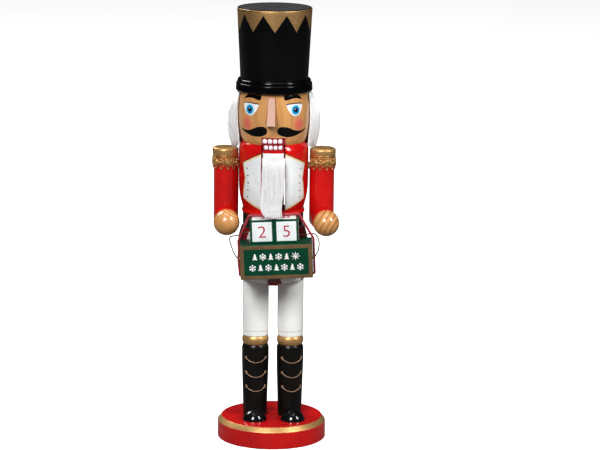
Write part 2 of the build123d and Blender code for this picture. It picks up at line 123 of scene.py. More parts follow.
make_camera((0.0235, -2.2933, 0.659), pitch=11.56, roll=0.6, lens=161.0)
make_world(seen=1.0, shining=0.14, mirrored=0.02)
make_light("key", (1.4, -0.9, 1.4), (0, 0, 0.2), (0.35, 0.95), 29)
make_light("fill", (-0.55, -1.6, 1.35), (0, 0, 0.2), (0.5, 0.7), 40)
make_light("top", (0.0, -0.1, 1.9), (0, 0, 0.2), (1.0, 1.0), 9)
make_light("back", (-1.3, 1.2, 1.7), (0, 0, 0.2), (0.8, 0.8), 26)
scene.view_settings.view_transform = "Standard"


# ---------------------------------------------------------------- materials
class Paint:
    """A material, and short ways to add nodes to it."""

    def __init__(self, name):
        self.material = bpy.data.materials.new(name)
        self.material.use_nodes = True
        self.tree = self.material.node_tree
        self.shader = self.tree.nodes["Principled BSDF"]

    def join(self, socket, value):
        if isinstance(value, bpy.types.NodeSocket):
            self.tree.links.new(value, socket)
        else:
            socket.default_value = value

    def add(self, kind, inputs, **settings):
        node = self.tree.nodes.new("ShaderNode" + kind)
        for key, value in settings.items():
            setattr(node, key, value)
        for key, value in inputs.items():
            self.join(node.inputs[key], value)
        return node

    def coords(self, stretch=(1, 1, 1), turn=(0, 0, 0), origin=(0, 0, 0)):
        """The row frame's own coordinates, from an origin in millimetres, turned and then stretched."""
        here = self.add("TexCoord", {}).outputs["Object"]
        moved = self.add("VectorMath", {0: here, 1: Vector(origin) * -MM}, operation="ADD").outputs[0]
        angles = [math.radians(a) for a in turn]
        turned = self.add("Mapping", {"Vector": moved, "Rotation": angles}).outputs["Vector"]
        return self.add("VectorMath", {0: turned, 1: stretch}, operation="MULTIPLY").outputs[0]

    def noise(self, grain, detail=2.0, vector=None):
        """Noise with blotches about as large as grain, in millimetres."""
        inputs = {"Vector": vector or self.coords(), "Scale": 1 / (grain * MM), "Detail": detail}
        return self.add("TexNoise", inputs).outputs["Fac"]

    def between(self, factor, low, high, start=0.0, end=1.0):
        """A number that goes from low to high as factor goes from start to end."""
        inputs = {"Value": factor, "From Min": start, "From Max": end, "To Min": low, "To Max": high}
        return self.add("MapRange", inputs).outputs["Result"]

    def ramp(self, factor, *stops):
        node = self.add("ValToRGB", {"Fac": factor})
        points = node.color_ramp.elements
        while len(points) < len(stops):
            points.new(1.0)
        for point, (position, colour) in zip(points, stops):
            point.position = position
            point.color = (*colour, 1)
        return node.outputs["Color"]

    def mix(self, factor, first, second):
        """A colour between two colours, each three numbers or a socket."""
        node = self.add("Mix", {0: factor}, data_type="RGBA")
        for index, colour in ((6, first), (7, second)):
            self.join(node.inputs[index], colour if hasattr(colour, "node") else (*colour, 1))
        return node.outputs[2]

    def bump(self, height, depth, strength=1.0):
        """Relief of a depth in millimetres."""
        inputs = {"Height": height, "Distance": depth * MM, "Strength": strength}
        self.join(self.shader.inputs["Normal"], self.add("Bump", inputs).outputs["Normal"])

    def set(self, **values):
        for key, value in values.items():
            self.join(self.shader.inputs[key.replace("_", " ")], value)


def lacquer(name, colour, shade, roughness=0.25, coat=0.5, metallic=0.0, peel=0.012, grain=22.0, shine=0.5):
    """Lacquer on turned wood: a slow drift of colour, uneven gloss and faint orange peel."""
    paint = Paint(name)
    drift = paint.noise(grain, detail=3)
    gloss = paint.noise(3.5, detail=3)
    paint.set(
        Base_Color=paint.ramp(drift, (0.34, shade), (0.62, colour)),
        Roughness=paint.between(gloss, roughness * 0.75, roughness * 1.3),
        Metallic=metallic,
        Coat_Weight=coat,
        Coat_Roughness=0.06,
        Specular_IOR_Level=shine,
    )
    paint.bump(paint.noise(1.1, detail=2), peel)
    return paint.material


def metal_paint(name, colour, shade, roughness, metallic=0.7):
    """Metallic paint with brush streaks round the turned parts."""
    paint = Paint(name)
    streaks = paint.noise(4.0, detail=4, vector=paint.coords(stretch=(1, 1, 7)))
    speckle = paint.noise(0.5, detail=2)
    paint.set(
        Base_Color=paint.ramp(streaks, (0.3, shade), (0.68, colour)),
        Roughness=paint.between(speckle, roughness * 0.8, roughness * 1.3),
        Metallic=metallic,
    )
    paint.bump(streaks, 0.03)
    return paint.material


BLUSH_RADII = (2.2, 7.8)
BLUSH_COLOUR = (0.70, 0.075, 0.085)


def wood(name, light, dark, ring, turn, origin, kind="RINGS", bend=3.0, blush=None):
    """Varnished wood: growth rings about an axis through origin, pores along the grain and a clear coat."""
    paint = Paint(name)
    # a sine wave's length is 2 pi / 20 of a unit at scale 1
    scale = 2 * math.pi / 20 / (ring * MM)
    vector = paint.coords(turn=turn, origin=origin)
    inputs = {"Vector": vector, "Scale": scale, "Distortion": bend, "Detail": 3.0, "Detail Scale": 0.35}
    axis = {"rings_direction": "Z"} if kind == "RINGS" else {"bands_direction": "X"}
    rings = paint.add("TexWave", inputs, wave_type=kind, wave_profile="SIN", **axis).outputs["Fac"]
    pores = paint.noise(0.7, detail=2, vector=paint.coords(stretch=(1, 1, 0.07), turn=turn, origin=origin))
    tone = paint.noise(16, detail=2)
    ringed = paint.ramp(rings, (0.08, dark), (0.45, light), (1.0, light))
    shaded = paint.mix(paint.between(pores, 0.0, 0.5, 0.35, 0.75), ringed, dark)
    colour = paint.mix(paint.between(tone, 0.0, 0.35, 0.4, 0.7), shaded, light)
    if blush:
        here = paint.coords()
        for cheek in blush:
            off = paint.add("VectorMath", {0: here, 1: Vector(cheek) * MM}, operation="DISTANCE")
            rouge = paint.between(off.outputs["Value"], 0.75, 0.0, *(r * MM for r in BLUSH_RADII))
            colour = paint.mix(rouge, colour, BLUSH_COLOUR)
    paint.set(Base_Color=colour, Roughness=0.36, Coat_Weight=0.7, Coat_Roughness=0.09)
    paint.bump(pores, 0.02)
    return paint.material


def fibre(name, colour, shade, metallic=0.0, roughness=0.6, grain=1.0, sheen=0.0):
    """Thread, cord or fur fibres, a little uneven in colour."""
    paint = Paint(name)
    tone = paint.noise(grain, detail=3)
    paint.set(
        Base_Color=paint.ramp(tone, (0.3, shade), (0.65, colour)),
        Roughness=paint.between(tone, roughness * 0.8, roughness * 1.2),
        Metallic=metallic,
        Sheen_Weight=sheen,
    )
    paint.bump(paint.noise(grain * 0.3, detail=2), 0.03)
    return paint.material


red = lacquer("red_lacquer", (0.56, 0.005, 0.004), (0.44, 0.003, 0.003), roughness=0.17, coat=0.3, shine=0.3)
base_red = lacquer(
    "base_red_lacquer", (0.52, 0.006, 0.006), (0.44, 0.004, 0.005), roughness=0.26, coat=0.2, shine=0.3
)
# The coat on the hips is a darker red than the chest's lacquer: painted shade for the shadow that the
# calendar block throws on the hips.
coat_red_painted_shade = lacquer("coat_maroon_painted_shade", (0.20, 0.004, 0.008), (0.13, 0.002, 0.005))
black = lacquer("black_lacquer", (0.0015, 0.0015, 0.002), (0.0008, 0.0008, 0.001), 0.15, coat=0.1, shine=0.16)
boot_black = lacquer(
    "boot_lacquer", (0.005, 0.004, 0.003), (0.002, 0.002, 0.002), 0.30, coat=0.05, shine=0.18
)
toe_black = lacquer("toe_lacquer", (0.004, 0.004, 0.005), (0.002, 0.002, 0.003), 0.16, coat=0.5, shine=0.3)
# The hat's flat top is painted a lighter grey than the black hat: a painted sheen for the light that the top
# catches from above.
hat_top_painted_sheen = lacquer(
    "hat_top_painted_sheen_lacquer", (0.030, 0.030, 0.033), (0.020, 0.020, 0.022), roughness=0.6, coat=0.0, shine=0.2
)
# The belt is black; its green tint is a painted reflection of the green calendar block in front of it.
belt_black_green_reflection = lacquer("belt_lacquer", (0.008, 0.020, 0.014), (0.003, 0.007, 0.005))
white = lacquer("white_enamel", (0.86, 0.86, 0.83), (0.80, 0.80, 0.78), roughness=0.42, coat=0.25)
vest_white = lacquer("vest_enamel", (0.78, 0.80, 0.80), (0.70, 0.73, 0.74), roughness=0.4, coat=0.2, grain=9)
cream = lacquer("vest_cream", (0.80, 0.66, 0.36), (0.66, 0.50, 0.24), roughness=0.35, coat=0.2, grain=3)
umber = lacquer("vest_umber", (0.035, 0.016, 0.008), (0.015, 0.008, 0.006), roughness=0.35, coat=0.2, grain=3)
green = lacquer(
    "green_enamel", (0.001, 0.056, 0.027), (0.001, 0.040, 0.019), roughness=0.22, coat=0.1, shine=0.22
)
panel_green = lacquer(
    "panel_enamel", (0.001, 0.048, 0.022), (0.001, 0.037, 0.017), roughness=0.18, coat=0.05, shine=0.18
)
ink = lacquer("number_ink", (0.44, 0.010, 0.050), (0.36, 0.006, 0.035), roughness=0.45, coat=0.1, grain=3)
crimson = lacquer("mouth_crimson", (0.32, 0.010, 0.030), (0.20, 0.006, 0.020), grain=3)
tooth_white = lacquer(
    "tooth_enamel", (0.88, 0.87, 0.88), (0.78, 0.74, 0.78), roughness=0.22, coat=0.6, grain=2
)
iris_blue = lacquer("iris_blue", (0.020, 0.24, 0.52), (0.004, 0.10, 0.30), grain=2.2)
iris_cyan = lacquer("iris_cyan", (0.15, 0.66, 0.90), (0.08, 0.54, 0.80), grain=2.2)
gold = metal_paint("gold_paint", (0.66, 0.39, 0.15), (0.44, 0.235, 0.075), roughness=0.40)
hat_gold = metal_paint(
    "hat_gold_paint", (0.60, 0.36, 0.15), (0.38, 0.21, 0.075), roughness=0.46, metallic=0.9
)
bronze = metal_paint("bronze_paint", (0.38, 0.25, 0.165), (0.27, 0.165, 0.10), roughness=0.42)
frame_bronze = lacquer(
    "frame_bronze", (0.19, 0.112, 0.045), (0.12, 0.068, 0.026), roughness=0.4, metallic=0.35
)
steel = metal_paint("steel", (0.55, 0.55, 0.56), (0.42, 0.42, 0.43), roughness=0.3, metallic=1.0)
brass = metal_paint("brass", (0.75, 0.53, 0.23), (0.58, 0.38, 0.14), roughness=0.25, metallic=1.0)

TAN, BROWN = (0.62, 0.305, 0.098), (0.32, 0.115, 0.025)
CHEEK_RADIUS, CHEEK_HEIGHT = 30.8, 282.6
cheeks = []
for azimuth in (-46 + FACE_TURN, 47 + FACE_TURN):
    turn = math.radians(azimuth)
    cheeks.append((CHEEK_RADIUS * math.sin(turn), -CHEEK_RADIUS * math.cos(turn), CHEEK_HEIGHT))
head_wood = wood("head_wood", TAN, (0.52, 0.235, 0.075), 3.0, (0, 0, 0), (9, 60, 0), bend=2.0, blush=cheeks)
nose_wood = wood(
    "nose_wood", (0.34, 0.14, 0.072), (0.28, 0.11, 0.052), 5.0, (24.4, 0, 0), (4, 40, 300), bend=1.0
)
left_hand_wood = wood("left_hand_wood", TAN, BROWN, 2.0, (0, 62, 0), (-41, 0, 198), kind="BANDS", bend=1.2)
right_hand_wood = wood("right_hand_wood", TAN, BROWN, 4.2, (90, 0, 0), (84, -24, 176), bend=1.6)
dowel_wood = wood("dowel_wood", (0.76, 0.50, 0.25), (0.62, 0.36, 0.15), 1.6, (0, 0, 0), (30, 20, 0))

fur_white = fibre("fur_white", (0.93, 0.93, 0.925), (0.86, 0.86, 0.86), grain=1.5, roughness=0.7, sheen=0.5)
# The beard takes a darker copy of the hair's white fur: painted shade to tone down the direct light that
# falls on its front.
beard_white_painted_shade = fibre(
    "beard_white_painted_shade", (0.80, 0.80, 0.80), (0.70, 0.70, 0.70), grain=1.5, roughness=0.7, sheen=0.3
)
gold_thread = fibre("gold_thread", (0.78, 0.46, 0.16), (0.30, 0.15, 0.045), metallic=0.85, roughness=0.42)
# The hanging cord is gold; its dark brown is partly the cord's own antique tone and partly painted shade for
# the shadow it hangs in.
cord_thread_painted_shade = fibre("cord_thread_painted_shade", (0.15, 0.085, 0.038), (0.035, 0.018, 0.009), metallic=0.4, roughness=0.4)
band_thread = fibre("band_thread", (0.36, 0.004, 0.025), (0.22, 0.002, 0.012), roughness=0.5, sheen=0.3)

NODE_LOOKS = {
    "base_plate": base_red,
    "boot": boot_black,
    "toe_cap": toe_black,
    "boot_cuff": gold,
    "leg": white,
    "hips": coat_red_painted_shade,
    "chest": red,
    "jaw_lever": red,
    "upper_teeth": crimson,
    "head": head_wood,
    "nose": nose_wood,
    "hat": black,
    "upper_arm": red,
    "forearm": red,
    "shoulder_cap": gold,
    "calendar_block": green,
    "tens_block": green,
    "units_block": green,
    "left_hand": left_hand_wood,
    "right_hand": right_hand_wood,
    "cord_nails": brass,
    "jaw_pin": steel,
    "leg_screws": steel,
}
for name, piece in nodes.items():
    plain = name.removeprefix("left_").removeprefix("right_")
    look = NODE_LOOKS.get(name) or NODE_LOOKS.get(plain) or dowel_wood
    piece.data.materials.clear()
    piece.data.materials.append(look)


# ---------------------------------------------------------------- mesh helpers
def mesh_piece(name, points, faces, material, body, slot, smooth=True):
    """A mesh given in millimetres, which rides on a body."""
    mesh = bpy.data.meshes.new(name)
    mesh.from_pydata((np.asarray(points, float) * MM).tolist(), [], [list(f) for f in faces])
    mesh.materials.append(material)
    if smooth:
        mesh.shade_smooth()
    piece = bpy.data.objects.new(name, mesh)
    scene.collection.objects.link(piece)
    if body:
        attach(piece, body)
    return piece


def joined(parts):
    """Several (points, faces) as one."""
    points, faces = [], []
    for some, their_faces in parts:
        faces += [[i + len(points) for i in face] for face in their_faces]
        points += [list(p) for p in some]
    return points, faces


def smooth_path(points, steps=6):
    """A Catmull-Rom curve through the points, from the first to the last."""
    points = [np.array(p, float) for p in points]
    padded = [2 * points[0] - points[1], *points, 2 * points[-1] - points[-2]]
    path = []
    for a, b, c, d in zip(padded, padded[1:], padded[2:], padded[3:]):
        for t in np.arange(steps) / steps:
            square, cube = 2 * a - 5 * b + 4 * c - d, 3 * b - a - 3 * c + d
            path.append(0.5 * (2 * b + (c - a) * t + square * t**2 + cube * t**3))
    return [*path, points[-1]]


def tube(path, radius, sides=8, closed=False, lobes=0, pitch=2.0, depth=0.0, flat=None):
    """A tube along a path. Lobes wind round it once in each pitch, as a rope's strands do. flat is a
    direction and a factor by which the section is squeezed along it."""
    path = np.array(path, float)
    count = len(path)
    ahead = np.roll(path, -1, 0) - np.roll(path, 1, 0) if closed else np.gradient(path, axis=0)
    ahead /= np.linalg.norm(ahead, axis=1)[:, None]
    side = np.cross(ahead[0], (0.31, 0.17, 0.93))
    sides_at = []
    for direction in ahead:
        side = side - direction * (side @ direction)
        side /= np.linalg.norm(side)
        sides_at.append(side)
    first = np.array(sides_at)
    second = np.cross(ahead, first)
    along = np.concatenate([[0], np.cumsum(np.linalg.norm(np.diff(path, axis=0), axis=1))])
    angles = np.arange(sides) * 2 * math.pi / sides
    winding = angles[None, :] + along[:, None] * 2 * math.pi / pitch / max(lobes, 1)
    swell = 1 - depth * (0.5 + 0.5 * np.cos(lobes * winding))
    offsets = radius * swell[:, :, None] * (
        first[:, None, :] * np.cos(angles)[None, :, None] + second[:, None, :] * np.sin(angles)[None, :, None]
    )
    if flat:
        direction, factor = np.array(flat[0], float), flat[1]
        offsets -= (1 - factor) * (offsets @ direction)[:, :, None] * direction
    points = (path[:, None, :] + offsets).reshape(-1, 3)
    faces = []
    for i in range(count if closed else count - 1):
        j = (i + 1) % count
        for k in range(sides):
            m = (k + 1) % sides
            faces.append((i * sides + k, i * sides + m, j * sides + m, j * sides + k))
    if not closed:
        faces.append(tuple(range(sides))[::-1])
        faces.append(tuple(range((count - 1) * sides, count * sides)))
    return points, faces


def caster(node):
    mesh = nodes[node].data
    corners = [v.co.copy() for v in mesh.vertices]
    return BVHTree.FromPolygons(corners, [tuple(p.vertices) for p in mesh.polygons])


def turned(node, axis_x=0.0, turn=0.0):
    """Puts (azimuth, height) on a turned node's surface, and gives the point and the outward direction."""
    tree = caster(node)

    def place(azimuth, height):
        angle = math.radians(azimuth + turn)
        outward = Vector((math.sin(angle), -math.cos(angle), 0))
        start = Vector((axis_x, 0, height)) * MM + outward * 0.1
        point, normal, _, _ = tree.ray_cast(start, -outward)
        if point is None:
            raise ValueError(f"{node} has no surface at azimuth {azimuth}, height {height}")
        if normal.dot(outward) < 0:
            normal = -normal
        return np.array(point) / MM, np.array(normal)

    return place


def flat_on(origin, across, up):
    """Puts (x, y) on a plane through origin, and gives the point and the plane's normal."""
    origin, across, up = np.array(origin, float), np.array(across, float), np.array(up, float)
    normal = np.cross(across, up)
    return lambda x, y: (origin + across * x + up * y, normal)


def dense(outline, step):
    """A closed outline with points at most a step apart."""
    points = []
    for a, b in zip(outline, np.roll(outline, -1, 0)):
        pieces = max(1, math.ceil(np.linalg.norm(b - a) / step))
        points += [a + (b - a) * i / pieces for i in range(pieces)]
    return np.array(points)


def rim_distance(points, rim):
    """How far each point is from a closed outline."""
    a, b = rim, np.roll(rim, -1, 0)
    run = b - a
    share = ((points[:, None, :] - a) * run).sum(2) / np.maximum((run * run).sum(1), 1e-12)
    nearest = a + np.clip(share, 0, 1)[:, :, None] * run
    return np.linalg.norm(points[:, None, :] - nearest, axis=2).min(1)


def inside(points, rim):
    x, y = points[:, 0, None], points[:, 1, None]
    (ax, ay), (bx, by) = rim.T, np.roll(rim, -1, 0).T
    crossing = ((ay > y) != (by > y)) & (x < (bx - ax) * (y - ay) / np.where(by == ay, 1e-12, by - ay) + ax)
    return crossing.sum(1) % 2 == 1


def film(outline, place, spread=1.0, lift=0.06, edge=0.25, step=1.0):
    """A closed film of paint on a surface. outline is a list of pairs for place, whose first numbers are
    spread millimetres each. The film swells from its rim to its full lift over the edge's width."""
    rim = dense(np.array(outline, float) * (spread, 1), min(step, 0.8))
    low, high = rim.min(0), rim.max(0)
    columns, rows = (np.arange(low[axis], high[axis], step) for axis in (0, 1))
    grid = np.stack(np.meshgrid(columns, rows), -1).reshape(-1, 2)
    ahead = np.roll(rim, -1, 0) - np.roll(rim, 1, 0)
    normal = np.stack([-ahead[:, 1], ahead[:, 0]], 1)
    normal /= np.maximum(np.linalg.norm(ahead, axis=1), 1e-9)[:, None]
    bands = [rim + normal * side * edge * share for side in (-1, 1) for share in (0.5, 1.0)]
    inner = np.concatenate([grid, *bands])
    inner = inner[inside(inner, rim)]
    far = rim_distance(inner, rim)
    inner = inner[far > 0.4 * edge]
    flat = [Vector(p) for p in np.concatenate([rim, inner])]
    points, _, faces, _, _, _ = delaunay_2d_cdt(flat, [], [list(range(len(rim)))], 1, 1e-6)
    flat = np.array([tuple(p) for p in points])
    height = np.clip(rim_distance(flat, rim) / edge, 0, 1)
    height = -0.03 + (lift + 0.03) * np.sin(height * math.pi / 2)
    top, under = [], []
    for (x, y), rise in zip(flat, height):
        point, direction = place(x / spread, y)
        top.append(point + direction * rise)
        under.append(point - direction * 0.12)
    faces = [tuple(f) for f in faces]
    a, b, c = (np.array(top[i]) for i in faces[0])
    if np.dot(np.cross(b - a, c - a), place(*(flat[faces[0][0]] / (spread, 1)))[1]) < 0:
        faces = [f[::-1] for f in faces]
    edges = {}
    for f in faces:
        for i, j in zip(f, f[1:] + f[:1]):
            edges[(i, j)] = edges.get((i, j), 0) + 1
    count = len(top)
    walls = [(j, i, i + count, j + count) for i, j in edges if (j, i) not in edges]
    backs = [tuple(i + count for i in f[::-1]) for f in faces]
    return [*top, *under], [*faces, *backs, *walls]


def painted(name, outline, place, material, body, slot, **size):
    return mesh_piece(name, *film(outline, place, **size), material, body, slot)


def line_on(pairs, place, radius, rise=0.0, sides=8):
    """A round line of paint that follows pairs on a surface."""
    path = []
    for x, y in pairs:
        point, direction = place(x, y)
        path.append(point + direction * rise)
    return tube(path, radius, sides)


def disc(x, y, radius, spread=1.0, count=20, tall=1.0):
    angles = np.arange(count) * 2 * math.pi / count
    return [(x + radius * math.cos(a) / spread, y + radius * tall * math.sin(a)) for a in angles]


def inset(outline, distance):
    """A polygon with each side moved inwards, for a polygon listed anticlockwise."""
    corners = np.array(outline, float)
    moved = []
    for before, corner, after in zip(np.roll(corners, 1, 0), corners, np.roll(corners, -1, 0)):
        into, out = corner - before, after - corner
        into, out = into / np.linalg.norm(into), out / np.linalg.norm(out)
        n1, n2 = np.array((-into[1], into[0])), np.array((-out[1], out[0]))
        moved.append(corner + distance * (n1 + n2) / (1 + n1 @ n2))
    return moved


def mirrored(outline):
    """The outline seen in a mirror, listed the same way round."""
    return [(-x, y) for x, y in outline][::-1]


# ---------------------------------------------------------------- hanging cord
HANGER_ROUTE = [
    (-29.0, -52.0, 170.6),
    (-31.4, -50.6, 172.5),
    (-33.6, -47.8, 176.0),
    (-35.2, -43.9, 180.1),
    (-37.1, -39.4, 184.4),
    (-36.2, -35.4, 186.9),
    (-31.6, -32.4, 186.3),
    (-26.4, -29.6, 187.8),
    (-19.4, -28.0, 189.8),
    (-11.0, -27.65, 191.6),
    (-2.0, -27.6, 192.1),
    (7.0, -27.65, 191.4),
    (15.4, -27.5, 189.5),
    (22.0, -27.7, 187.2),
    (27.4, -29.3, 187.1),
    (32.0, -31.2, 188.8),
    (36.0, -33.6, 189.6),
    (39.0, -36.4, 187.0),
    (40.4, -39.8, 182.0),
    (39.4, -44.6, 176.9),
    (37.4, -48.9, 173.7),
    (36.1, -52.0, 172.4),
]
HANGER_RADIUS = 0.6


def route_points(route):
    """The points of a smooth curve that has the route as its control points, in millimetres."""
    curve = bpy.data.curves.new("route", "CURVE")
    curve.dimensions = "3D"
    spline = curve.splines.new("NURBS")
    spline.points.add(len(route) - 1)
    for control, place in zip(spline.points, route):
        control.co = (*(Vector(place) * MM), 1)
    spline.order_u = 3
    spline.use_endpoint_u = True
    spline.resolution_u = 12
    carrier = bpy.data.objects.new("route", curve)
    scene.collection.objects.link(carrier)
    mesh = bpy.data.meshes.new_from_object(carrier.evaluated_get(bpy.context.evaluated_depsgraph_get()))
    points = [tuple(v.co / MM) for v in mesh.vertices]
    bpy.data.objects.remove(carrier)
    return points


hanger_path = route_points(HANGER_ROUTE)
hanger_mesh = tube(hanger_path, HANGER_RADIUS, sides=12, lobes=3, pitch=2.4, depth=0.18)
hanging_cord = mesh_piece("hanging_cord_twisted", *hanger_mesh, cord_thread_painted_shade, "figure", "gold_cord")
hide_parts("hanging_cord")


# ---------------------------------------------------------------- hat: gold zigzag and flat top
HAT_SPREAD = 32 * math.pi / 180
on_hat = turned("hat", turn=1.0)
TOOTH_TIP, TOOTH_NOTCH, GOLD_TOP = 362.0, 376.5, 380.6
points = [(azimuth, TOOTH_TIP if k % 2 else TOOTH_NOTCH) for k, azimuth in enumerate(range(-162, 163, 18))]
zigzag = [(-180, TOOTH_TIP), *points, (180, TOOTH_TIP), (180, GOLD_TOP), (-180, GOLD_TOP)]
painted("hat_zigzag", zigzag, on_hat, hat_gold, "figure", "gold_paint", spread=HAT_SPREAD, step=1.2)

hat_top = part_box("hat")[1].z / MM
HAT_TOP_RADIUS = 30.9
lid = disc(0, 0, HAT_TOP_RADIUS, count=90)
on_top = flat_on((0, 0, hat_top), (1, 0, 0), (0, 1, 0))
# The flat top is a grey film of painted sheen over the black hat.
top_film = {"lift": 0.03, "edge": 0.6, "step": 3}
painted("hat_top_face", lid, on_top, hat_top_painted_sheen, "figure", "black_paint", **top_film)

# ---------------------------------------------------------------- base: gold chamfer
base_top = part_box("base_plate")[1].z / MM
on_base = turned("base_plate")
RING_LOW, RING_HIGH = 14.75, base_top - 0.05
ring = [(-180, RING_LOW), (180, RING_LOW), (180, RING_HIGH), (-180, RING_HIGH)]
painted("base_gold_ring", ring, on_base, gold, "figure", "gold_paint", spread=0.8, lift=0.04, step=1.4)

# ---------------------------------------------------------------- boots: painted swags
SWAG_LEVELS = (72.4, 59.1, 46.3)
SWAG_HALF = 48.0
SWAG_SAG = 3.9
for side, turn in (("left", 4.0), ("right", 11.0)):
    boot_low, boot_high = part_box(f"{side}_boot")
    on_boot = turned(f"{side}_boot", (boot_low.x + boot_high.x) / 2 / MM, turn)
    parts = []
    for level in SWAG_LEVELS:
        azimuths = np.linspace(-SWAG_HALF, SWAG_HALF, 33)
        hang = [(a, level - SWAG_SAG * (1 - (a / SWAG_HALF) ** 2)) for a in azimuths]
        parts.append(line_on(hang, on_boot, 0.42))
        for end in (-SWAG_HALF, SWAG_HALF):
            dot = disc(end, level, 1.55, spread=0.2)
            parts.append(film(dot, on_boot, spread=0.2, lift=0.3, edge=1.0, step=0.5))
    mesh_piece(f"{side}_boot_swags", *joined(parts), bronze, "figure", "gold_paint")

# ---------------------------------------------------------------- hips: breeches and belt
HIPS_SPREAD = 0.5
on_hips = turned("hips")
for side, near, far in (("left", -9, -60), ("right", 18, 60)):
    outer = [(far, 143.2), (far * 0.9, 165), (far * 0.78, 187.5)]
    breeches = [(near, 143.2), *outer, (near * 0.6, 188.6), (near * 0.6, 150)]
    breeches = breeches[::-1] if far > 0 else breeches
    size = {"spread": HIPS_SPREAD, "step": 1.5}
    painted(f"{side}_breeches", breeches, on_hips, white, "figure", "white_paint", **size)
belt = [(-157, 189.5), (157, 189.5), (157, 201.8), (-157, 201.8)]
painted("belt", belt, on_hips, belt_black_green_reflection, "figure", "black_paint", spread=HIPS_SPREAD, lift=0.1, step=1.5)

# ---------------------------------------------------------------- waistcoat and its buttons
CHEST_SPREAD = 30 * math.pi / 180
SLOT_SIDE = 10.5
chest_heights, chest_radii = (205.8, 213.0, 223.0, 234.0, 257.0), (26.5, 28.2, 29.8, 30.2, 30.2)
slot_heights = (207.6, 213.0, 223.0, 234.0, 245.0, 257.4)
radii = np.interp(slot_heights, chest_heights, chest_radii)
slot_azimuths = [math.degrees(math.asin(SLOT_SIDE / r)) for r in radii]
for side, sign in (("left", -1), ("right", 1)):
    turn = VEST_TURN * (1 if sign > 0 else 0.5)
    on_chest = turned("chest", turn=turn)
    inner = [(azimuth - sign * turn, height) for azimuth, height in zip(slot_azimuths, slot_heights)]
    outer = [(64.5, 216.2), (55.0, 234.6), (61.5, 247.4)]
    measured = [(azimuth * CHEST_SPREAD, height) for azimuth, height in (inner[0], *outer, *inner[:0:-1])]
    reaching = [(x if 0 < k <= len(outer) else x - 3.0, height) for k, (x, height) in enumerate(measured)]
    layers = (("outline", -0.45, umber, 0.04), ("edge", 0.0, cream, 0.07), ("field", 1.15, vest_white, 0.10))
    for layer, inwards, material, lift in layers:
        shape = inset(reaching, inwards)
        slot_edge = [azimuth * CHEST_SPREAD for azimuth, _ in inner]
        edges = np.interp([height for _, height in shape], slot_heights, slot_edge)
        shape = [
            (max(x, edge) / CHEST_SPREAD, max(height, slot_heights[0]))
            for (x, height), edge in zip(shape, edges)
        ]
        shape = mirrored(shape) if sign < 0 else shape
        name = f"{side}_vest_{layer}"
        size = {"spread": CHEST_SPREAD, "lift": lift, "edge": 0.2}
        painted(name, shape, on_chest, material, "figure", "white_paint", **size)
    parts = []
    for azimuth, height in zip((49.0, 47.0, 46.5, 47.3, 49.5), (243.4, 237.2, 230.9, 224.4, 218.5)):
        button = disc(sign * azimuth, height, 0.95, spread=CHEST_SPREAD)
        parts.append(film(button, on_chest, spread=CHEST_SPREAD, lift=0.45, edge=0.8, step=0.4))
    buttons = joined(parts)
    # The buttons are alike on both sides: the right ones take the bronze, and the left ones take the black
    # lacquer as painted shade for the shaded left side of the chest.
    mesh_piece(f"{side}_vest_buttons", *buttons, black if sign < 0 else bronze, "figure", "gold_paint")

# ---------------------------------------------------------------- face
FACE_SPREAD = 31 * math.pi / 180
on_head = turned("head", turn=FACE_TURN)
face_paint = {"spread": FACE_SPREAD, "step": 0.8}
moustache = [
    (68.5, 278.5), (55.5, 277.2), (45.5, 277.0), (37.0, 278.1), (27.5, 280.3), (19.0, 281.3),
    (12.5, 281.0), (8.8, 279.3), (8.0, 277.1), (10.0, 274.8), (15.6, 273.1), (24.0, 272.1),
    (33.0, 272.0), (43.0, 273.0), (53.0, 274.6), (62.0, 276.5), (68.5, 278.5),
]
eye_lower = [(22.0, 300.4), (24.5, 297.0), (28.5, 293.4), (34.0, 290.7), (40.0, 290.0)]
eye_lower += [(46.0, 290.9), (51.5, 294.0)]
eye_white = [*smooth_path([*eye_lower, (54.2, 297.4), (55.2, 300.4)]), (46.0, 300.9), (34.0, 300.9)]
lid_line = smooth_path([(22.4, 300.3), (29.0, 300.8), (38.0, 301.0), (47.0, 300.9), (54.5, 300.5)])
brow_lower = [(19.6, 307.9), (19.2, 305.4), (21.8, 303.9), (28.5, 304.3), (36.0, 305.2), (45.0, 305.0)]
brow = smooth_path([*brow_lower, (56.0, 303.6)])
brow += smooth_path([(56.0, 303.6), (51.5, 306.4), (46.0, 307.9)])[1:]
whisker = smooth_path(moustache)[:-1]
IRIS = (39.8, 295.3)
EYE_DISCS = (("rim", 4.7, iris_cyan, 0.09), ("iris", 3.75, iris_blue, 0.12), ("pupil", 2.15, black, 0.15))
for side, sign in (("left", -1), ("right", 1)):
    flip = mirrored if sign < 0 else list
    eye_x, eye_z = sign * IRIS[0], IRIS[1]
    size = {"lift": 0.05, **face_paint}
    painted(f"{side}_eye_white", flip(eye_white), on_head, tooth_white, "figure", "white_paint", **size)
    for part, radius, material, lift in EYE_DISCS:
        spot = disc(eye_x, eye_z, radius, FACE_SPREAD, count=40, tall=0.97)
        size = {"lift": lift, **face_paint}
        painted(f"{side}_eye_{part}", spot, on_head, material, "figure", "black_paint", **size)
    glint = disc(eye_x - 0.8, eye_z + 0.9, 0.6, FACE_SPREAD)
    size = {"spread": FACE_SPREAD, "lift": 0.2, "step": 0.4}
    painted(f"{side}_eye_glint", glint, on_head, tooth_white, "figure", "white_paint", **size)
    lid_mesh = line_on([(sign * x, y) for x, y in lid_line], on_head, 0.42, rise=0.1)
    mesh_piece(f"{side}_eyelid_line", *lid_mesh, black, "figure", "black_paint")
    painted(f"{side}_brow", flip(brow), on_head, black, "figure", "black_paint", lift=0.12, **face_paint)
    size = {"lift": 0.16, "edge": 0.5, **face_paint}
    painted(f"{side}_moustache", flip(whisker), on_head, black, "figure", "black_paint", **size)


